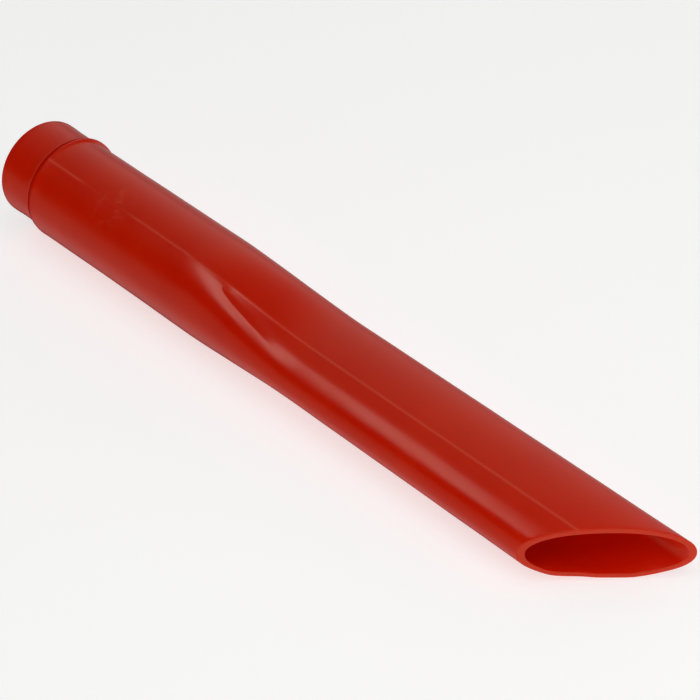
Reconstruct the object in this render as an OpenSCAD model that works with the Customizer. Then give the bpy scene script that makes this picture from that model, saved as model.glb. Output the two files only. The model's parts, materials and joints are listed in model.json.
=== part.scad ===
// Crevice nozzle for a vacuum or blower hose, moulded in one piece.
//
// It lies along +X: the round hose end is at the origin, and the slanted mouth is at the far end.
// Y is across the flattened nose, and Z is through it. The longer side of the mouth is on +Y.
// All sizes are in millimetres.

/* [Hose end] */
// Bore of the socket that takes a hose end
socket_bore_d = 38.6; // [36:0.1:39.2]
// Outside diameter of the cuff
cuff_d = 42.8; // [42:0.1:43.2]
// Length of the cuff, from the rear rim to the shoulder
cuff_length = 20.5; // [15:0.1:40]
// Radius on the outer edge of the rear rim
rim_edge_r = 0.6; // [0.2:0.1:1]

/* [Shoulder] */
// Diameter over the shoulder
shoulder_d = 45.9; // [44.8:0.1:48]
// Length over which the shoulder's rear edge rounds up from the cuff
shoulder_rise = 2.2; // [0.8:0.1:4]
// Length over which the shoulder falls back to the barrel
shoulder_fall = 4; // [2:0.1:10]
// Length over which the socket's bore opens out to the barrel's bore
bore_opening = 2.8; // [1:0.1:8]

/* [Barrel] */
// Outside diameter of the round barrel
barrel_d = 44; // [43.6:0.1:44.6]
// Length of the round part, from the cuff to where it starts to flatten
barrel_length = 96.2; // [40:0.1:200]
// Wall of the barrel and the nose
wall = 2.15; // [1.4:0.05:2.4]

/* [Nose] */
// Length over which the round barrel flattens into the nose
flattening_length = 76.5; // [50:0.1:120]
// Width of the flattened nose
nose_width = 43.4; // [38:0.1:46]
// Thickness of the flattened nose
nose_thickness = 25; // [18:0.1:34]
// Fullness of the nose's section: 2 is an ellipse, and more fills out its corners
nose_fullness = 2.17; // [2:0.01:3]
// Length of the nose on its centre line, up to the middle of the mouth
nose_length = 146.1; // [60:0.1:250]
// Slant of the mouth, where 0 is square across the nose
mouth_angle = 46.6; // [0:0.1:55]

/* [Hidden] */
$fn = 96;

cuff_r = cuff_d / 2;
shoulder_r = shoulder_d / 2;
barrel_r = barrel_d / 2;
socket_bore_r = socket_bore_d / 2;
barrel_bore_r = barrel_r - wall;

// Places along the centre line
flattening_start = cuff_length + barrel_length;
nose_start = flattening_start + flattening_length;
mouth_middle = nose_start + nose_length;

// Steps in which curves are drawn
edge_step = 15;
fall_steps = 6;
around = 72;
flattening_steps = 14;

// The flattened tube is rooted this far inside the wall of the round one
root_length = 1;
root_inset = 0.05;

moulded_red = [0.72, 0.1, 0.05];

// Rises smoothly from 0 to 1 as t goes from 0 to 1
function ease(t) = t * t * (3 - 2 * t);

// Value between a and b at the share t
function between(a, b, t) = a + (b - a) * t;

// Power of a signed number that keeps its sign
function signed_power(v, p) = sign(v) * pow(abs(v), p);

// Half width, half thickness and fullness of the section where the flattening has reached t
function section_size(t) = [
    between(barrel_r, nose_width / 2, ease(t)),
    between(barrel_r, nose_thickness / 2, ease(t)),
    between(2, nose_fullness, ease(t))
];

// Point of a rounded section at one angle, moved inwards by inset along the section's normal
function section_point(size, angle, inset) =
    let (
        reach = 2 / size[2],
        y = size[0] * signed_power(cos(angle), reach),
        z = size[1] * signed_power(sin(angle), reach),
        ny = signed_power(cos(angle), 2 - reach) / size[0],
        nz = signed_power(sin(angle), 2 - reach) / size[1],
        length = norm([ny, nz])
    )
    [y - inset * ny / length, z - inset * nz / length];

// Ring of points of a section square across the centre line at x
function square_ring(x, size, inset) = [
    for (i = [0 : around - 1])
        let (p = section_point(size, i * 360 / around, inset))
        [x, p[0], p[1]]
];

// Ring of points of the nose's section, on the slanted plane of the mouth
function mouth_ring(inset) = [
    for (i = [0 : around - 1])
        let (p = section_point(section_size(1), i * 360 / around, inset))
        [mouth_middle + p[0] * tan(mouth_angle), p[0], p[1]]
];

// Rings of one wall surface, from the root inside the barrel to the mouth
function wall_rings(inset, root) = [
    square_ring(flattening_start - root_length, section_size(0), root),
    for (i = [1 : flattening_steps])
        let (t = i / flattening_steps)
        square_ring(flattening_start + t * flattening_length, section_size(t), inset),
    mouth_ring(inset)
];

// Triangles between neighbouring rings of points, in the order that faces them outwards
function strips(rings, first, outwards) = [
    for (k = [0 : rings - 2], i = [0 : around - 1])
        let (
            a = first + k * around + i,
            b = first + k * around + (i + 1) % around,
            c = a + around,
            d = b + around
        )
        each outwards ? [[a, c, b], [b, c, d]] : [[a, b, c], [b, d, c]]
];

// Triangles of the flat ends, between the outer and the inner ring of points
function end_faces(outer, inner, forwards) = [
    for (i = [0 : around - 1])
        let (j = (i + 1) % around)
        each forwards
            ? [[outer + i, inner + i, outer + j], [outer + j, inner + i, inner + j]]
            : [[outer + i, outer + j, inner + i], [outer + j, inner + j, inner + i]]
];

// Half section of the cuff, shoulder and barrel: distance from the centre line, then place along it
module round_half_section() {
    polygon([
        [socket_bore_r, 0],
        for (a = [0 : edge_step : 90])
            [cuff_r - rim_edge_r * (1 - sin(a)), rim_edge_r * (1 - cos(a))],
        for (a = [0 : edge_step : 90])
            [between(cuff_r, shoulder_r, sin(a)), cuff_length + shoulder_rise * (1 - cos(a))],
        for (i = [1 : fall_steps])
            let (t = i / fall_steps)
            [between(shoulder_r, barrel_r, ease(t)), cuff_length + shoulder_rise + shoulder_fall * t],
        [barrel_r, flattening_start],
        [barrel_bore_r, flattening_start],
        [barrel_bore_r, cuff_length + bore_opening],
        [socket_bore_r, cuff_length]
    ]);
}

// Cuff, shoulder and barrel, with the true bore of the socket
module round_tube() {
    rotate([0, 90, 0]) rotate_extrude() round_half_section();
}

// Tube that flattens from the barrel into the nose and ends at the slanted mouth
module flattened_tube() {
    outer = wall_rings(0, root_inset);
    inner = wall_rings(wall, wall - root_inset);
    rings = len(outer);
    inner_first = rings * around;
    last_ring = (rings - 1) * around;
    polyhedron(
        points = [for (ring = outer) each ring, for (ring = inner) each ring],
        faces = [
            each strips(rings, 0, true),
            each strips(rings, inner_first, false),
            each end_faces(0, inner_first, false),
            each end_faces(last_ring, inner_first + last_ring, true)
        ]
    );
}

// The whole nozzle, one moulding from rear rim to mouth
module nozzle() {
    color(moulded_red) {
        round_tube();
        flattened_tube();
    }
}

nozzle();
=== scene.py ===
"""Looks of a one-piece moulded crevice nozzle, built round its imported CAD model.

Everything is in metres, in the frame of the CAD model: +X runs from the hose end to the mouth, Y is
across the flattened nose, with the longer side of the mouth on +Y, and Z is through the nose.
"""

import json
import math

import bpy
import numpy as np
from bpy.props import FloatProperty, FloatVectorProperty, PointerProperty
from mathutils import Matrix, Vector


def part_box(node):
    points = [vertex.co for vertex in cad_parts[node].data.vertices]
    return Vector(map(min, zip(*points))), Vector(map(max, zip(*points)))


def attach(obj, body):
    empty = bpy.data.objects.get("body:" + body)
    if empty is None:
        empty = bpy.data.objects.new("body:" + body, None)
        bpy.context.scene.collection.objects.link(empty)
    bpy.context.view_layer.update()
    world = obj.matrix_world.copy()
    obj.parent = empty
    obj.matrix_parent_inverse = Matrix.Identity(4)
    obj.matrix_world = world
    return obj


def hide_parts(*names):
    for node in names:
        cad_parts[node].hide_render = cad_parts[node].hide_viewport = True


bl_info = {
    "name": "Moulded Crevice Nozzle",
    "version": (1, 0, 0),
    "blender": (4, 5, 0),
    "location": "View3D > Sidebar > Nozzle",
    "description": "Builds a moulded plastic crevice nozzle and the stage that it lies on",
    "category": "Add Mesh",
}

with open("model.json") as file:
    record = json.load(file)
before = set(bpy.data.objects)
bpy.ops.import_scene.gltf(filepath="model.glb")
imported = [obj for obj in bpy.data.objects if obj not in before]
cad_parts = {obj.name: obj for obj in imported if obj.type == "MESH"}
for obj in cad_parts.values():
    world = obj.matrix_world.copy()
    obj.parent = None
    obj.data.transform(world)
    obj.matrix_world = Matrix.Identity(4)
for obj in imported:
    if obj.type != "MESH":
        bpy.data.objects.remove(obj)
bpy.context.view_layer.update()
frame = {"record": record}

MM = 0.001
NODE = "nozzle"

mounts = {mount["name"]: mount["dims"] for mount in frame["record"]["mounts"]}
_, cad_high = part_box(NODE)

# Rings of each stretch of the wall, most where it curves most. With the columns below they keep the
# moulding just under 200,000 triangles.
RING_COUNTS = {
    "rear edge": 6,
    "cuff": 10,
    "neck": 13,
    "shoulder": 26,
    "barrel": 30,
    "flattening": 90,
    "square nose": 12,
    "leaning nose": 45,
    "mouth edge": 7,
    "mouth face": 4,
    "mouth inner edge": 5,
    "nose bore": 24,
    "flattening bore": 34,
    "barrel bore": 8,
    "bore opening": 5,
    "socket": 7,
    "rim inner edge": 4,
    "rim face": 4,
}
# Columns, in degrees from a parting line: a close band on each line, and wide ones between them
CLOSE_BAND, CLOSE_STEP, WIDE_COLUMNS = 1.6, 0.16, 128

# Angle of the parting line from +Y, on the barrel and on the nose, in degrees
BARREL_LINE, NOSE_LINE = 110.3, 104.9
# Angle by which the crease of the flattening has left that line at its far end
CREASE_ANGLE = math.radians(31)

# Stretches along X over which something comes or goes: where each starts, and its length
LINE_BEGINS = (22 * MM, 3 * MM)
LINE_THINS = (50 * MM, 20 * MM)
DRESSED_FROM, DRESSED_TO = (42 * MM, 8 * MM), (76 * MM, 8 * MM)
SCOOPED_FROM, SCOOPED_TO = (117 * MM, 5 * MM), (138 * MM, 9 * MM)
CREASE_SPREADS = (118 * MM, 68 * MM)
FLAT_FADES = (164 * MM, 18 * MM)
# Where the flat starts, and the length of its round end
FLAT_START, FLAT_END_LENGTH = 141 * MM, 3 * MM
# The raised crease's height, as a share of the flat's depth, and half width, as one of its width
CREASE_HEIGHT, CREASE_HALF_WIDTH = 0.45, 0.22

# Where the cuff's flare starts to die out
FLARE_START = 1.5 * MM
# The cuff's neck and the painted highlight line before the shoulder: distance from its foot, and
# half width
NECK_BEFORE, NECK_HALF_WIDTH = 0.8 * MM, 1.4 * MM
FOOT_HIGHLIGHT_BEFORE, FOOT_HIGHLIGHT_HALF_WIDTH = 0.9 * MM, 0.45 * MM
# How plain that painted highlight line is beside the parting line
FOOT_HIGHLIGHT_STRENGTH = 0.6
# Where the painted shade on the shoulder's rounding comes in, past the foot, and goes, as shares of
# the rounding
SHADE_COMES, SHADE_GOES = (-0.2 * MM, 0.3 * MM), (0.5, 0.6)
# Share of the steep fall that is left in the shoulder where it isn't proud
LEAST_STEEP = 0.25

# Length of the close rings before the shoulder, and of the nose whose rings stand square
NECK_LENGTH = 2.6 * MM
SQUARE_NOSE_LENGTH = 30 * MM
# Length over which the socket opens to the barrel's bore
BORE_OPENING = 2.8 * MM
# Length over which the lip's sag fades, and depth below the nose's middle over which it comes in
LIP_LENGTH = 30 * MM
LIP_DEPTH = 6 * MM
# Waves of the lower lip, in mm: centre across the nose, half width and depth
LIP_WAVES = ((-14, 3.0, 0.6), (-6.5, 3.0, -0.4), (6.0, 4.0, 0.4), (14.5, 3.0, -0.15))


def linear_colour(code):
    """Linear red, green and blue of an sRGB hex colour such as B41408."""
    levels = [int(code[i : i + 2], 16) / 255 for i in (0, 2, 4)]
    return tuple(v / 12.92 if v <= 0.04045 else ((v + 0.055) / 1.055) ** 2.4 for v in levels)


def length(name, description, default):
    """A length in metres that the sidebar shows in the scene's unit."""
    return FloatProperty(
        name=name, description=description, default=default, min=0.0, unit="LENGTH"
    )


def colour(name, description, code):
    """A colour given as sRGB hex and kept as linear light."""
    return FloatVectorProperty(
        name=name,
        description=description,
        default=linear_colour(code),
        subtype="COLOR",
        min=0.0,
        max=1.0,
    )


class NozzleSizes(bpy.types.PropertyGroup):
    """Sizes of the moulding"""

    socket_radius: length(
        "Socket radius", "Bore that takes the hose end", mounts["hose_socket"]["r_mm"] * MM
    )
    cuff_length: length(
        "Cuff length", "Rear rim to shoulder", mounts["hose_socket"]["length_mm"] * MM
    )
    cuff_radius: length(
        "Cuff radius", "Outside of the cuff", mounts["hose_cuff_seat"]["r_mm"] * MM
    )
    cuff_flare: length(
        "Cuff flare", "How much wider the rear of the cuff is than its size", 0.22 * MM
    )
    flare_length: length("Flare length", "Length over which the flare dies out", 9 * MM)
    shoulder_radius: length("Shoulder radius", "Widest part of the shoulder", cad_high.z)
    shoulder_rise: length("Shoulder rise", "Length of the shoulder's rounded rear edge", 1.2 * MM)
    shoulder_sweep: length(
        "Shoulder sweep", "How much longer that rounding is on its low side", 3.0 * MM
    )
    shoulder_fall: length(
        "Shoulder fall", "Length over which its proud side falls to the barrel", 2.7 * MM
    )
    shoulder_fade: length(
        "Shoulder fade", "Length over which the rest of it fades into the barrel", 60 * MM
    )
    barrel_radius: length("Barrel radius", "Outside of the round barrel", 22 * MM)
    wall: length("Wall", "Thickness of the moulded wall", 2.15 * MM)
    flattening_start: length("Flattening start", "Where the barrel starts to flatten", 116.7 * MM)
    flattening_length: length("Flattening length", "Length over which it flattens", 76.5 * MM)
    nose_half_width: length("Nose half width", "Half the width of the flat nose", 21.7 * MM)
    nose_half_thickness: length("Nose half thickness", "Half the thickness of the nose", 12.5 * MM)
    nose_fullness: FloatProperty(
        name="Nose fullness",
        description="2 is an ellipse, and more fills out its corners",
        default=2.17,
        min=2.0,
    )
    mouth_angle: FloatProperty(
        name="Mouth angle",
        description="Slant of the mouth",
        default=math.radians(46.6),
        subtype="ANGLE",
    )
    rear_edge: length("Rear edge", "Rounding of the rear rim", 0.6 * MM)
    mouth_edge: length("Mouth edge", "Rounding of the mouth's outer edge", 0.45 * MM)
    inner_edge: length("Inner edge", "Rounding of the inner edges", 0.25 * MM)
    ridge_height: length(
        "Parting ridge height", "Height of the moulded parting line", 0.06 * MM
    )
    ridge_width: length("Parting ridge width", "Half width of the parting line", 0.5 * MM)
    flat_depth: length(
        "Flat depth", "Sink of the thumb flat beside the parting line", 0.3 * MM
    )
    wander: length("Wander", "Slow unevenness of the moulded wall", 0.05 * MM)
    cuff_offset: length(
        "Cuff offset", "How far the cuff sits off the barrel's centre line", 0.5 * MM
    )
    shoulder_offset: length("Shoulder offset", "The same for the shoulder", 0.3 * MM)
    foot_tilt: length(
        "Foot tilt", "How much nearer the rear rim the shoulder starts on its low side", 0.9 * MM
    )
    neck_depth: length(
        "Neck depth", "How much the cuff narrows before the shoulder there", 0.35 * MM
    )
    lean: FloatProperty(
        name="Lean",
        description="Side towards which the cuff and shoulder sit off the centre line",
        default=math.radians(32.5),
        subtype="ANGLE",
    )


class NozzleFinish(bpy.types.PropertyGroup):
    """Colours and gloss of the plastic"""

    red: colour("Red", "Pigmented polyethylene", "DA1800")
    worn_red: colour("Worn red", "The same where it has been handled", "E22200")
    # Painted shade: the shoulder's rounding is coloured darker, standing in for the shade that
    # falls by the step.
    painted_shade_red: colour(
        "Edge red", "The shoulder's rounding, where the parting of the mould left it dark", "D01000"
    )
    # The parting line's whitened flash. The same colour also paints a highlight line on the cuff
    # before the shoulder.
    line_and_highlight_red: colour(
        "Line red", "The parting line, whitened where its flash was scraped off", "F87058"
    )
    cut_red: colour("Cut red", "The trimmed face of the mouth", "D42A14")
    roughness: FloatProperty(
        name="Roughness",
        description="Satin of the moulded skin",
        default=0.2,
        min=0.0,
        max=1.0,
        subtype="FACTOR",
    )


class NozzleStage(bpy.types.PropertyGroup):
    """Floor and lights"""

    floor: colour("Floor", "Pale studio floor", "B8B8B6")
    brightness: FloatProperty(
        name="Brightness", description="Scales every light", default=1.0, min=0.0
    )


# ---------------------------------------------------------------- shape of the moulding


def ease(share):
    """3 t^2 - 2 t^3 of a share held between 0 and 1: a smooth rise from 0 to 1."""
    share = np.clip(share, 0.0, 1.0)
    return share * share * (3 - 2 * share)


def passed(place, stretch):
    """0 before a stretch along X and 1 after it, by an eased step."""
    start, extent = stretch
    return ease((place - start) / extent)


def bell(distance, half_width):
    """e^-(distance / half width)^2: a bell curve that is 1 at distance 0."""
    return np.exp(-((distance / half_width) ** 2))


def between(start, end, share):
    """The value at a share of the way from start to end."""
    return start + (end - start) * share


def signed_power(value, power):
    """|value| to a power, with the sign of value."""
    return np.sign(value) * np.abs(value) ** power


def section_points(half_width, half_thickness, fullness, angle, inset):
    """Y and Z of a rounded section |y/a|^n + |z/b|^n = 1 at a running angle, moved in by inset.

    With reach = 2/n the outline is y = a cos^reach, z = b sin^reach, and its normal is along
    (cos^(2-reach) / a, sin^(2-reach) / b); the point moves against that normal by inset.
    """
    reach = 2 / fullness
    across, through = np.cos(angle), np.sin(angle)
    normal_y = signed_power(across, 2 - reach) / half_width
    normal_z = signed_power(through, 2 - reach) / half_thickness
    size = np.hypot(normal_y, normal_z)
    y = half_width * signed_power(across, reach) - inset * normal_y / size
    z = half_thickness * signed_power(through, reach) - inset * normal_z / size
    return y, z


def rings(
    place, half_width, half_thickness=None, fullness=2.0, inset=0.0, slant=0.0, skin=0.0, cut=0.0
):
    """One row for each ring of the wall: its place along X, section, inset and slant.

    Its last two values are the shares by which it is outer skin, with relief, and cut face.
    """
    if half_thickness is None:
        half_thickness = half_width
    values = (place, half_width, half_thickness, fullness, inset, slant, skin, cut)
    return np.stack(np.broadcast_arrays(*[np.asarray(v, float) for v in values]), axis=1)


def shares(stretch):
    """Even shares of a stretch, one for each of its rings, from 0 up to, but not including, 1."""
    count = RING_COUNTS[stretch]
    return np.arange(count) / count


def quarter_turns(stretch):
    """The same shares of a right angle, for an edge that is rounded by a quarter circle."""
    return shares(stretch) * math.pi / 2


def flattened_section(sizes, share):
    """Half width, half thickness and fullness at a share of the flattening's length."""
    turn = ease(share)
    return (
        between(sizes.barrel_radius, sizes.nose_half_width, turn),
        between(sizes.barrel_radius, sizes.nose_half_thickness, turn),
        between(2.0, sizes.nose_fullness, turn),
    )


def outer_round_rings(sizes):
    """The skin from the rear rim to the end of the barrel, as rings of the barrel's radius.

    The rear edge is a quarter circle, and rings lie closest at the foot of the shoulder, at
    distances 1 - cos(a). hose_end_relief brings each ring to the size of the cuff or the shoulder.
    """
    edge, radius, foot = sizes.rear_edge, sizes.barrel_radius, sizes.cuff_length
    round_off = foot + sizes.shoulder_rise + sizes.shoulder_sweep
    arc, rise = quarter_turns("rear edge"), quarter_turns("shoulder")
    neck = foot - NECK_LENGTH
    return [
        rings(edge * (1 - np.cos(arc)), radius, inset=edge * (1 - np.sin(arc)), skin=1),
        rings(between(edge, neck, shares("cuff")), radius, skin=1),
        rings(between(neck, foot, shares("neck")), radius, skin=1),
        rings(between(foot, round_off, 1 - np.cos(rise)), radius, skin=1),
        rings(between(round_off, sizes.flattening_start, shares("barrel")), radius, skin=1),
    ]


def nose_rings(sizes, mouth_middle):
    """The skin from the barrel's end to the mouth, then its rim: rounded, cut flat, rounded."""
    share = shares("flattening")
    nose = flattened_section(sizes, 1.0)
    nose_start = sizes.flattening_start + sizes.flattening_length
    slant_start = nose_start + SQUARE_NOSE_LENGTH
    leaning, flat = shares("leaning nose"), shares("mouth face")
    edge, inner = sizes.mouth_edge, sizes.inner_edge
    outer_arc, inner_arc = quarter_turns("mouth edge"), quarter_turns("mouth inner edge")
    return [
        rings(
            sizes.flattening_start + share * sizes.flattening_length,
            *flattened_section(sizes, share),
            skin=1,
        ),
        rings(between(nose_start, slant_start, shares("square nose")), *nose, skin=1),
        rings(between(slant_start, mouth_middle - edge, leaning), *nose, slant=leaning, skin=1),
        rings(
            mouth_middle - edge * (1 - np.sin(outer_arc)),
            *nose,
            inset=edge * (1 - np.cos(outer_arc)),
            slant=1,
            skin=np.cos(outer_arc),
            cut=np.sin(outer_arc),
        ),
        rings(mouth_middle, *nose, inset=between(edge, sizes.wall - inner, flat), slant=1, cut=1),
        rings(
            mouth_middle - inner * (1 - np.cos(inner_arc)),
            *nose,
            inset=sizes.wall - inner * (1 - np.sin(inner_arc)),
            slant=1,
            cut=np.cos(inner_arc),
        ),
    ]


def bore_rings(sizes, mouth_middle):
    """The inner wall from the mouth back to the rear rim, and the rim's flat face."""
    wall, inner = sizes.wall, sizes.inner_edge
    nose = flattened_section(sizes, 1.0)
    nose_start = sizes.flattening_start + sizes.flattening_length
    back, share = shares("nose bore"), 1 - shares("flattening bore")
    opening, arc = shares("bore opening"), quarter_turns("rim inner edge")
    barrel_bore = sizes.barrel_radius - wall
    opening_end = sizes.cuff_length + BORE_OPENING
    socket = sizes.socket_radius
    rim = sizes.cuff_radius + sizes.cuff_flare - sizes.rear_edge
    return [
        rings(
            between(mouth_middle - inner, nose_start, back),
            *nose,
            inset=wall,
            slant=(1 - back) ** 2,
        ),
        rings(
            sizes.flattening_start + share * sizes.flattening_length,
            *flattened_section(sizes, share),
            inset=wall,
        ),
        rings(between(sizes.flattening_start, opening_end, shares("barrel bore")), barrel_bore),
        rings(
            between(opening_end, sizes.cuff_length, opening),
            between(barrel_bore, socket, ease(opening)),
        ),
        rings(between(sizes.cuff_length, inner, shares("socket")), socket),
        rings(inner * (1 - np.sin(arc)), socket + inner * (1 - np.cos(arc))),
        rings(0.0, between(socket + inner, rim, shares("rim face"))),
    ]


def column_angles():
    """Angles round the section, 0 and 180 degrees being the parting lines, closest beside them."""
    close = np.arange(-CLOSE_BAND, CLOSE_BAND, CLOSE_STEP)
    wide = np.linspace(CLOSE_BAND, 180 - CLOSE_BAND, WIDE_COLUMNS, endpoint=False)
    half = np.concatenate([close, wide])
    return np.radians(np.concatenate([half, half + 180]))


def parting_strength(place):
    """How plainly the parting line shows along X.

    It begins past the shoulder at 1.5 and thins to 1. It loses 0.85 of that where the mould was
    dressed smooth, and 0.7 of it where the thumb flat begins.
    """
    begins = passed(place, LINE_BEGINS) * (1.5 - 0.5 * passed(place, LINE_THINS))
    dressed = passed(place, DRESSED_FROM) * (1 - passed(place, DRESSED_TO))
    scooped = passed(place, SCOOPED_FROM) * (1 - passed(place, SCOOPED_TO))
    return begins * (1 - 0.85 * dressed) * (1 - 0.7 * scooped)


def wall_wander(place, angle, size):
    """Slow waves of the blown wall, up to about size high.

    They are three waves, 71, 43 and 27 mm long, with 2, 2 and 3 turns round the section. They are
    added at 1, 0.7 and 0.5 and divided by the sum of these.
    """
    turn = 2 * math.pi * place
    waves = (
        np.sin(turn / (71 * MM) + 0.7) * np.cos(2 * angle + 0.4)
        + 0.7 * np.sin(turn / (43 * MM) + 2 * angle + 1.9)
        + 0.5 * np.sin(turn / (27 * MM) - 3 * angle + 0.3)
    )
    return size * waves / 2.2


def shoulder_round_off(sizes, angle):
    """Length of the shoulder's rounding: rise + sweep x |sin(half the angle from the lean)|."""
    return sizes.shoulder_rise + sizes.shoulder_sweep * np.abs(np.sin((angle - sizes.lean) / 2))


def low_side(sizes, angle):
    """1 opposite the side the cuff leans to and 0 on that side: sin^4 of half the angle between."""
    return np.sin((angle - sizes.lean) / 2) ** 4


def past_shoulder_foot(sizes, place, angle):
    """Distance past the shoulder's foot, which is tilted towards the rear rim on the low side."""
    return place - sizes.cuff_length + sizes.foot_tilt * low_side(sizes, angle)


def hose_end_relief(sizes, place, angle):
    """How far the skin stands out from the barrel's radius at the hose end.

    The cuff and shoulder sit off the centre line: offset x cos(angle from the lean). The cuff
    flares towards the rear rim by an eased step, and on its low side a bell curve necks it before
    the shoulder. The shoulder rises from it as a quarter ellipse. Past its crest its height falls
    by an eased step, short on the side it leans to and mostly long elsewhere.
    """
    side = np.cos(angle - sizes.lean)
    flare = 1 - passed(place, (FLARE_START, sizes.flare_length - FLARE_START))
    past_foot = past_shoulder_foot(sizes, place, angle)
    neck = low_side(sizes, angle) * bell(past_foot + NECK_BEFORE, NECK_HALF_WIDTH)
    cuff_radius = sizes.cuff_radius + sizes.cuff_flare * flare - sizes.neck_depth * neck
    cuff = cuff_radius - sizes.barrel_radius + sizes.cuff_offset * side
    round_off = shoulder_round_off(sizes, angle)
    risen = np.sqrt(1 - (1 - np.clip(past_foot / round_off, 0, 1)) ** 2)
    past_crest = past_foot - round_off
    steep = ease(past_crest / sizes.shoulder_fall)
    gentle = ease(past_crest / sizes.shoulder_fade)
    fallen = between(gentle, steep, between(LEAST_STEEP, 1, np.clip(side, 0, 1) ** 2))
    proud = sizes.shoulder_radius - sizes.barrel_radius + sizes.shoulder_offset * side
    return between(cuff, proud * (1 - fallen), risen)


def painted_shoulder_shade(sizes, place, angle):
    """Painted shade on the shoulder's rounding: 1 on the rounding and 0 away from it, fading with
    its crest.
    """
    past_foot = past_shoulder_foot(sizes, place, angle)
    rounded = past_foot / shoulder_round_off(sizes, angle)
    return passed(past_foot, SHADE_COMES) * (1 - passed(rounded, SHADE_GOES))


def painted_foot_highlight(sizes, place, angle):
    """A painted highlight: a bell curve on the cuff just before the shoulder, in the parting line's
    pale colour.
    """
    past_foot = past_shoulder_foot(sizes, place, angle)
    return FOOT_HIGHLIGHT_STRENGTH * bell(past_foot + FOOT_HIGHLIGHT_BEFORE, FOOT_HIGHLIGHT_HALF_WIDTH)


def thumb_flat(place, column):
    """How far the flat beside the parting line is sunk, as a share of its depth.

    It lies between the line and a crease that leaves the line at x = 118 mm and is 31 degrees off
    it at 186 mm. Across it is 4 t (1 - t), less a bell curve that raises the crease at t = 1; along
    it starts with a round end at 141 mm and fades by 182 mm.
    """
    start, extent = CREASE_SPREADS
    crease = CREASE_ANGLE * np.clip((place - start) / extent, 0.01, 1)
    turn = np.mod(column, math.pi) / crease
    across = np.clip(turn, 0, 1)
    round_end = FLAT_START + FLAT_END_LENGTH * (2 * across - 1) ** 2
    along = passed(place, (round_end, FLAT_END_LENGTH)) * (1 - passed(place, FLAT_FADES))
    raised = CREASE_HEIGHT * bell(turn - 1, CREASE_HALF_WIDTH)
    return (4 * across * (1 - across) - raised) * along


def lip_sag(y, from_mouth):
    """How far the lower lip hangs at y: four bell curves, which fade away from the mouth."""
    waves = (depth * bell(y / MM - centre, half_width) for centre, half_width, depth in LIP_WAVES)
    sag = sum(waves)
    return sag * MM * (1 - ease(from_mouth / LIP_LENGTH))


def moulding_points(sizes):
    """All rings of the closed wall as points: skin forward, rim, bore back, rear rim.

    Each ring is a section at its place, and leans by x = place + slant * y * tan(mouth angle). The
    skin stands out along its normal by its relief: the parting ridge, which is a bell curve across
    the line, the waves of the wall and the shape of the hose end, less the thumb flat. The marks
    say where the material shows the scraped parting line with a painted highlight before the
    shoulder, painted shade on the shoulder's rounding, and the cut face.
    """
    mouth_middle = cad_high.x - sizes.nose_half_width * math.tan(sizes.mouth_angle)
    rows = np.concatenate(
        outer_round_rings(sizes) + nose_rings(sizes, mouth_middle) + bore_rings(sizes, mouth_middle)
    )
    place, half_width, half_thickness, fullness, inset, slant, skin, cut = rows.T[:, :, None]
    column = column_angles()[None, :]
    flattened = passed(place, (sizes.flattening_start, sizes.flattening_length))
    angle = np.radians(between(BARREL_LINE, NOSE_LINE, flattened)) + column
    from_line = (np.mod(column + math.pi / 2, math.pi) - math.pi / 2) * sizes.barrel_radius
    line = bell(from_line, sizes.ridge_width) * parting_strength(place)
    relief = sizes.ridge_height * line + wall_wander(place, angle, sizes.wander)
    relief = relief + hose_end_relief(sizes, place, angle)
    relief = relief - sizes.flat_depth * thumb_flat(place, column)
    y, z = section_points(half_width, half_thickness, fullness, angle, inset - skin * relief)
    z = z - lip_sag(y, mouth_middle - place) * ease(-z / LIP_DEPTH)
    x = place + slant * y * math.tan(sizes.mouth_angle)
    points = np.stack([x, y, z], axis=-1)
    marks = {
        # ridge holds the parting line and the painted highlight before the shoulder; edge is
        # painted shade on the shoulder's rounding.
        "ridge": skin * (line + painted_foot_highlight(sizes, place, angle)),
        "edge": skin * painted_shoulder_shade(sizes, place, angle),
        "cut": cut,
    }
    return points, {name: np.broadcast_to(mark, x.shape) for name, mark in marks.items()}


def mesh_from_rings(name, points, attributes):
    """A mesh over a grid of points that closes on itself both ways, one quad between neighbours."""
    ring_count, column_count = points.shape[:2]
    index = np.arange(ring_count * column_count).reshape(ring_count, column_count)
    next_ring = np.roll(index, -1, axis=0)
    quads = np.stack(
        [index, next_ring, np.roll(next_ring, -1, axis=1), np.roll(index, -1, axis=1)], axis=-1
    )
    mesh = bpy.data.meshes.new(name)
    mesh.from_pydata(points.reshape(-1, 3), [], quads.reshape(-1, 4))
    for attribute, values in attributes.items():
        layer = mesh.attributes.new(attribute, "FLOAT", "POINT")
        layer.data.foreach_set("value", values.astype(np.float32).ravel())
    mesh.shade_smooth()
    return mesh


# ---------------------------------------------------------------- material

# Sockets of a Mix node: its colours and what they give, and its numbers
COLOUR_A, COLOUR_B, MIXED_COLOUR = 6, 7, 2
NUMBER_A, NUMBER_B = 2, 3
# Middle of the place where the parting line was dressed smooth, and the distances from it between
# which the scuffs fade
SCUFFED_PLACE = (68 * MM, -9.0 * MM, 20.1 * MM)
SCUFFS_FADE = (3 * MM, 12 * MM)
# Where along X the rubbing of the nose starts and is full
RUBBED_FROM, RUBBED_TO = 150 * MM, 230 * MM
# How much the roughness varies either way with the patches, and how much duller the nose is
PATCHY, DULLER = 0.03, 0.04


def add_node(tree, kind, links=(), **settings):
    """Adds a node, sets its properties or inputs by name, and links (input, output) pairs to it."""
    node = tree.nodes.new(kind)
    for name, value in settings.items():
        if hasattr(node, name):
            setattr(node, name, value)
        else:
            node.inputs[name.replace("_", " ")].default_value = value
    for socket, source in links:
        tree.links.new(node.inputs[socket], source)
    return node


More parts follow.
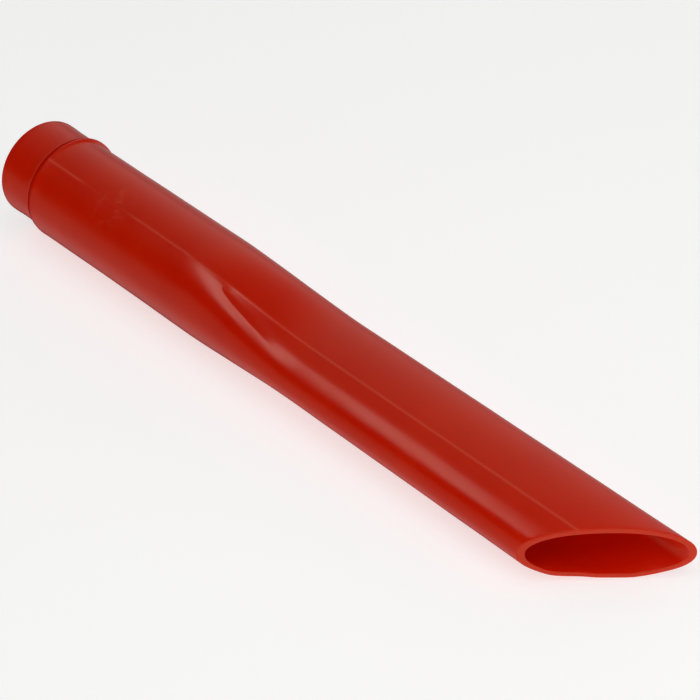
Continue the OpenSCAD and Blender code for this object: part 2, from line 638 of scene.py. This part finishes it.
def scuff_marks(tree, where):
    """Scuffs about 5 mm across, left where the parting line was dressed smooth."""
    from_middle = add_node(tree, "ShaderNodeVectorMath", [(0, where)], operation="DISTANCE")
    from_middle.inputs[1].default_value = SCUFFED_PLACE
    near = add_node(
        tree,
        "ShaderNodeMapRange",
        [("Value", from_middle.outputs["Value"])],
        From_Min=SCUFFS_FADE[0],
        From_Max=SCUFFS_FADE[1],
        To_Min=1.0,
        To_Max=0.0,
    ).outputs["Result"]
    blotches = add_node(
        tree,
        "ShaderNodeTexNoise",
        [("Vector", where)],
        Scale=210.0,
        Detail=4.0,
        Distortion=1.2,
    ).outputs["Fac"]
    marked = add_node(
        tree, "ShaderNodeMapRange", [("Value", blotches)], From_Min=0.5, From_Max=0.7
    ).outputs["Result"]
    return add_node(
        tree, "ShaderNodeMath", [(0, near), (1, marked)], operation="MULTIPLY"
    ).outputs[0]


def skin_colour(tree, finish, patches, scuffs):
    """Red, and over it worn patches, the pale line and scuffs with a painted highlight before the
    shoulder, the cut face and painted shade on the shoulder's rounding.
    """
    # line brings the parting line and the painted highlight before the shoulder; edge brings the
    # painted shade on the shoulder's rounding.
    line, cut, edge = (
        add_node(tree, "ShaderNodeAttribute", attribute_name=mark).outputs["Fac"]
        for mark in ("ridge", "cut", "edge")
    )
    worn = add_node(
        tree, "ShaderNodeMapRange", [("Value", patches)], From_Min=0.25, From_Max=0.85
    ).outputs["Result"]
    # The scuffs and the parting line, with the painted highlight before the shoulder, all turn
    # pale.
    scraped = add_node(
        tree, "ShaderNodeMath", [(0, scuffs), (1, line)], operation="MAXIMUM"
    ).outputs[0]
    pale = add_node(
        tree, "ShaderNodeMapRange", [("Value", scraped)], To_Max=0.28
    ).outputs["Result"]
    mixed = add_node(tree, "ShaderNodeMix", [("Factor", worn)], data_type="RGBA")
    mixed.inputs[COLOUR_A].default_value = (*finish.red, 1)
    mixed.inputs[COLOUR_B].default_value = (*finish.worn_red, 1)
    # The pale mix also carries the painted highlight; the last mix paints shade on the shoulder's
    # rounding.
    for share, shade in ((pale, finish.line_and_highlight_red), (cut, finish.cut_red), (edge, finish.painted_shade_red)):
        below = mixed.outputs[MIXED_COLOUR]
        mixed = add_node(
            tree, "ShaderNodeMix", [("Factor", share), (COLOUR_A, below)], data_type="RGBA"
        )
        mixed.inputs[COLOUR_B].default_value = (*shade, 1)
    return mixed.outputs[MIXED_COLOUR]


def skin_roughness(tree, finish, patches, rubbed):
    """Satin that varies with the patches and is a little duller on the rubbed nose."""
    varied = add_node(
        tree,
        "ShaderNodeMapRange",
        [("Value", patches)],
        From_Min=0.15,
        From_Max=0.85,
        To_Min=finish.roughness - PATCHY,
        To_Max=finish.roughness + PATCHY,
    ).outputs["Result"]
    dulled = add_node(
        tree, "ShaderNodeMapRange", [("Value", rubbed)], To_Max=DULLER
    ).outputs["Result"]
    return add_node(
        tree, "ShaderNodeMath", [(0, varied), (1, dulled)], operation="ADD"
    ).outputs[0]


def skin_relief(tree, where, scuffs, rubbed):
    """Flow lines, scuffs and grain, each as a bump on the one before."""
    # Flow lines run along the mould: about 1.5 mm apart round the wall and 40 mm long.
    stretched = add_node(tree, "ShaderNodeMapping", [("Vector", where)])
    stretched.inputs["Scale"].default_value = (25.0, 650.0, 650.0)
    flow = add_node(
        tree,
        "ShaderNodeTexNoise",
        [("Vector", stretched.outputs["Vector"])],
        Scale=1.0,
        Detail=2.0,
    ).outputs["Fac"]
    # The mould's blasted surface leaves a fine grain, drawn 0.6 mm coarse so that it shows.
    grain = add_node(
        tree, "ShaderNodeTexNoise", [("Vector", where)], Scale=1600.0, Detail=2.0
    ).outputs["Fac"]
    grain_strength = add_node(
        tree, "ShaderNodeMapRange", [("Value", rubbed)], To_Min=0.25, To_Max=0.8
    ).outputs["Result"]
    flow_bump = add_node(
        tree, "ShaderNodeBump", [("Height", flow)], Strength=0.25, Distance=0.04 * MM
    ).outputs["Normal"]
    scuff_bump = add_node(
        tree,
        "ShaderNodeBump",
        [("Height", scuffs), ("Normal", flow_bump)],
        Strength=0.6,
        Distance=0.03 * MM,
    ).outputs["Normal"]
    return add_node(
        tree,
        "ShaderNodeBump",
        [("Height", grain), ("Normal", scuff_bump), ("Strength", grain_strength)],
        Distance=0.02 * MM,
    ).outputs["Normal"]


def moulded_polyethylene(finish):
    """Red pigmented polyethylene, blow moulded.

    It has a satin skin with soft reflections and faint flow lines, and light goes a few millimetres
    into it.
    """
    material = bpy.data.materials.new("moulded_polyethylene_red")
    material.use_nodes = True
    tree = material.node_tree
    tree.nodes.clear()
    where = add_node(tree, "ShaderNodeTexCoord").outputs["Object"]
    # Handling and uneven pigment show as patches about 30 mm across.
    patches = add_node(
        tree, "ShaderNodeTexNoise", [("Vector", where)], Scale=33.0, Detail=3.0
    ).outputs["Fac"]
    # The nose is rubbed in use, so it is duller than the barrel and its grain shows more.
    along = add_node(tree, "ShaderNodeSeparateXYZ", [("Vector", where)]).outputs["X"]
    rubbed = add_node(
        tree, "ShaderNodeMapRange", [("Value", along)], From_Min=RUBBED_FROM, From_Max=RUBBED_TO
    ).outputs["Result"]
    scuffs = scuff_marks(tree, where)
    surface = add_node(
        tree,
        "ShaderNodeBsdfPrincipled",
        [
            ("Base Color", skin_colour(tree, finish, patches, scuffs)),
            ("Roughness", skin_roughness(tree, finish, patches, rubbed)),
            ("Normal", skin_relief(tree, where, scuffs, rubbed)),
        ],
        IOR=1.51,
        Subsurface_Weight=0.3,
        Subsurface_Scale=6 * MM,
        Subsurface_Radius=(1.0, 0.05, 0.02),
        Specular_Tint=(1.0, 0.92, 0.5, 1.0),
    )
    add_node(tree, "ShaderNodeOutputMaterial", [("Surface", surface.outputs["BSDF"])])
    return material


def opal_acrylic(stage):
    """Opal acrylic of a light table: matt, and lit a little from below, so shadows stay faint."""
    material = bpy.data.materials.new("opal_acrylic")
    material.use_nodes = True
    tree = material.node_tree
    surface = tree.nodes["Principled BSDF"]
    surface.inputs["Base Color"].default_value = (*stage.floor, 1)
    surface.inputs["Roughness"].default_value = 0.9
    surface.inputs["Emission Color"].default_value = (1, 1, 1, 1)
    surface.inputs["Emission Strength"].default_value = FLOOR_GLOW * stage.brightness
    return material


# ---------------------------------------------------------------- stage

# The floor's half width, its clearance under the nozzle, and how much it glows
FLOOR_REACH = 40.0
FLOOR_CLEARANCE = 0.6 * MM
FLOOR_GLOW = 0.66

# Each softbox: name, place, aim, width, height, glow, and whether it shines on the gloss
NOZZLE_MIDDLE = (0.19, 0.0, 0.0)
SOFTBOXES = (
    ("front_softbox", (0.4, -0.14, 0.9), NOZZLE_MIDDLE, 0.8, 0.7, 1.85, True),
    ("mouth_fill", (1.1, 0.08, 0.34), (0.34, 0.0, 0.0), 0.4, 0.3, 4.2, False),
    ("nose_fill", (0.62, -0.5, 0.18), (0.3, 0.0, 0.0), 0.3, 0.25, 1.3, False),
    ("side_panel", (0.45, 0.95, 0.4), NOZZLE_MIDDLE, 0.7, 0.6, 0.85, True),
    ("rear_fill", (-0.45, -0.2, 0.6), (0.02, 0.0, 0.0), 0.5, 0.5, 0.9, False),
    ("overhead_strip", (-0.23, -0.36, 0.62), (-0.23, -0.36, 0.0), 0.18, 0.42, 2.8, True),
)
STRIP_COLOUR = (0.98, 0.92, 1.3)
# Half of the band over which the room's light turns into the ground's, as height of the direction
HORIZON_BLUR = 0.04

# Glow of the ground by the light's direction along Y, from -1 to 1
GROUND_GLOW = (
    (-0.8, 0.15),
    (-0.68, 0.18),
    (-0.4, 0.31),
    (-0.1, 0.24),
    (0.1, 0.1),
    (0.32, 0.05),
    (0.45, 0.33),
    (0.7, 0.21),
)

# Lens and sensor in mm, and the camera's place, what it looks at, and its roll
LENS, SENSOR = 128.86, 36.0
CAMERA_PLACE, CAMERA_AIM = (0.7853, -0.40036, 0.64575), (0.19063, 0.01066, 0.0)
CAMERA_ROLL = -math.radians(9.992)


def place_looking(obj, place, aim, roll=0.0):
    """Puts an object at place with its -Z axis towards aim, turned about that axis by roll."""
    looking = (Vector(aim) - Vector(place)).to_track_quat("-Z", "Y").to_matrix().to_4x4()
    obj.matrix_world = Matrix.Translation(place) @ looking @ Matrix.Rotation(roll, 4, "Z")


def add_softbox(name, place, aim, width, height, glow):
    """A rectangular softbox of a given radiance; its power is radiance x area x pi."""
    light = bpy.data.lights.new(name, "AREA")
    light.shape = "RECTANGLE"
    light.size, light.size_y = width, height
    light.energy = glow * width * height * math.pi
    box = bpy.data.objects.new(name, light)
    bpy.context.scene.collection.objects.link(box)
    place_looking(box, place, aim)
    return box


class NOZZLE_OT_make_moulding(bpy.types.Operator):
    """Make the moulded nozzle: its wall, rims, shoulder and parting line"""

    bl_idname = "nozzle.make_moulding"
    bl_label = "Make moulding"

    def execute(self, context):
        points, marks = moulding_points(context.scene.nozzle_sizes)
        mesh = mesh_from_rings("nozzle_moulding", points, marks)
        mesh.materials.append(moulded_polyethylene(context.scene.nozzle_finish))
        moulding = bpy.data.objects.new("nozzle_moulding", mesh)
        context.scene.collection.objects.link(moulding)
        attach(moulding, "root")
        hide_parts(NODE)
        return {"FINISHED"}


class NOZZLE_OT_make_stage(bpy.types.Operator):
    """Make the floor, the softboxes, the surrounding light and the camera"""

    bl_idname = "nozzle.make_stage"
    bl_label = "Make stage"

    def execute(self, context):
        stage = context.scene.nozzle_stage
        sizes = context.scene.nozzle_sizes
        self.make_floor(context, stage, sizes)
        self.make_lights(context, stage)
        self.make_camera(context)
        return {"FINISHED"}

    def make_floor(self, context, stage, sizes):
        """The floor lies under the shoulder and the thinner nose, so it tilts a little."""
        rear, front = sizes.cuff_length, cad_high.x
        slope = (sizes.shoulder_radius - sizes.nose_half_thickness) / (front - rear)
        level = -sizes.shoulder_radius - slope * rear - FLOOR_CLEARANCE
        corners = ((-1, -1), (1, -1), (1, 1), (-1, 1))
        points = [
            (FLOOR_REACH * x, FLOOR_REACH * y, level + slope * FLOOR_REACH * x) for x, y in corners
        ]
        mesh = bpy.data.meshes.new("floor")
        mesh.from_pydata(points, [], [(0, 1, 2, 3)])
        mesh.materials.append(opal_acrylic(stage))
        floor = bpy.data.objects.new("floor", mesh)
        context.scene.collection.objects.link(floor)
        floor.visible_glossy = False

    def make_lights(self, context, stage):
        """Softboxes in front, at the side, low at the mouth and nose and behind, a strip, a room.

        The fills only light the matt part of the surface, and the strip only shines on the gloss.
        """
        boxes = {}
        for name, place, aim, width, height, glow, shines_on_gloss in SOFTBOXES:
            boxes[name] = add_softbox(name, place, aim, width, height, glow * stage.brightness)
            boxes[name].visible_glossy = shines_on_gloss
        strip = boxes["overhead_strip"]
        strip.data.color = STRIP_COLOUR
        strip.visible_diffuse = False
        context.scene.world = self.make_surround(stage.brightness)
        context.scene.view_settings.view_transform = "Standard"

    def make_surround(self, gain):
        """A dim room over a grey ground, both black right behind the nozzle.

        Each is a product of ramps of the light's direction along X and Y. The horizon between them
        is lifted where a low reflector stands in front, on the -Y side.
        """
        world = bpy.data.worlds.new("studio")
        world.use_nodes = True
        tree = world.node_tree
        direction = add_node(tree, "ShaderNodeTexCoord").outputs["Generated"]
        parts = add_node(tree, "ShaderNodeSeparateXYZ", [("Vector", direction)]).outputs
        # Each ramp: axis, where it starts and ends, and its values there
        ramps = {
            # The room is bright on the +Y side and dark on the other. Towards the front it gets a
            # little brighter, and then dims.
            "room": ("Y", -0.3, 0.65, 0.0, 0.45 * gain),
            "room dims": ("X", -0.56, -0.36, 1.0, 0.22),
            "room brightens": ("X", -0.66, -0.56, 1.0, 1.28),
            # The ground is darkest in the nozzle's own shadow, and brighter towards the front.
            "across": ("Y", -1.0, 1.0, 0.0, 1.0),
            "ground front": ("X", -0.72, -0.54, gain, 1.55 * gain),
            "reflector front": ("X", -0.69, -0.63, 0.0, 0.24),
            "reflector side": ("Y", -0.3, -0.6, 0.0, 1.0),
            # Both are black right behind the nozzle, which outlines the shoulder.
            "behind": ("X", -0.8, -0.73, 0.0, 1.0),
        }
        level = {
            name: add_node(
                tree,
                "ShaderNodeMapRange",
                [("Value", parts[axis])],
                From_Min=start,
                From_Max=end,
                To_Min=low,
                To_Max=high,
            ).outputs["Result"]
            for name, (axis, start, end, low, high) in ramps.items()
        }
        shadowed = add_node(tree, "ShaderNodeValToRGB", [("Fac", level["across"])])
        elements = shadowed.color_ramp.elements
        while len(elements) < len(GROUND_GLOW):
            elements.new(0.5)
        for element, (place, glow) in zip(elements, GROUND_GLOW):
            element.position = (place + 1) / 2
            element.color = (glow, glow, glow, 1)
        level["shadowed"] = shadowed.outputs["Color"]
        for product, first, second in (
            ("ground", "shadowed", "ground front"),
            ("front", "room dims", "room brightens"),
            ("sky", "room", "front"),
            ("lifted", "reflector front", "reflector side"),
        ):
            level[product] = add_node(
                tree,
                "ShaderNodeMath",
                [(0, level[first]), (1, level[second])],
                operation="MULTIPLY",
            ).outputs[0]
        height = add_node(
            tree,
            "ShaderNodeMath",
            [(0, parts["Z"]), (1, level["lifted"])],
            operation="SUBTRACT",
        )
        above = add_node(
            tree,
            "ShaderNodeMapRange",
            [("Value", height.outputs[0])],
            From_Min=-HORIZON_BLUR,
            From_Max=HORIZON_BLUR,
        ).outputs["Result"]
        surround = add_node(
            tree,
            "ShaderNodeMix",
            [("Factor", above), (NUMBER_A, level["ground"]), (NUMBER_B, level["sky"])],
            data_type="FLOAT",
        )
        strength = add_node(
            tree,
            "ShaderNodeMath",
            [(0, surround.outputs[0]), (1, level["behind"])],
            operation="MULTIPLY",
        )
        background = tree.nodes["Background"]
        tree.links.new(background.inputs["Strength"], strength.outputs[0])
        background.inputs["Color"].default_value = (1, 1, 1, 1)
        return world

    def make_camera(self, context):
        """A long lens, 42 degrees above the floor and a little rolled."""
        lens = bpy.data.cameras.new("camera")
        lens.lens = LENS
        lens.sensor_width = SENSOR
        camera = bpy.data.objects.new("camera", lens)
        context.scene.collection.objects.link(camera)
        place_looking(camera, CAMERA_PLACE, CAMERA_AIM, CAMERA_ROLL)
        context.scene.camera = camera


class NOZZLE_PT_sidebar(bpy.types.Panel):
    """Steps and sizes of the nozzle"""

    bl_label = "Crevice nozzle"
    bl_idname = "NOZZLE_PT_sidebar"
    bl_space_type = "VIEW_3D"
    bl_region_type = "UI"
    bl_category = "Nozzle"

    def draw(self, context):
        for operator in STEPS:
            self.layout.operator(operator.bl_idname)
        scene = context.scene
        for group in (scene.nozzle_sizes, scene.nozzle_finish, scene.nozzle_stage):
            box = self.layout.box()
            for name in group.__annotations__:
                box.prop(group, name)


STEPS = (NOZZLE_OT_make_moulding, NOZZLE_OT_make_stage)
CLASSES = (NozzleSizes, NozzleFinish, NozzleStage, *STEPS, NOZZLE_PT_sidebar)


def register():
    """Adds the classes and gives each scene its sizes, finish and stage."""
    for each in CLASSES:
        bpy.utils.register_class(each)
    bpy.types.Scene.nozzle_sizes = PointerProperty(type=NozzleSizes)
    bpy.types.Scene.nozzle_finish = PointerProperty(type=NozzleFinish)
    bpy.types.Scene.nozzle_stage = PointerProperty(type=NozzleStage)


def unregister():
    """Takes away what register added."""
    del bpy.types.Scene.nozzle_stage
    del bpy.types.Scene.nozzle_finish
    del bpy.types.Scene.nozzle_sizes
    for each in reversed(CLASSES):
        bpy.utils.unregister_class(each)


def main():
    register()
    bpy.ops.nozzle.make_moulding()
    bpy.ops.nozzle.make_stage()


if __name__ == "__main__":
    main()
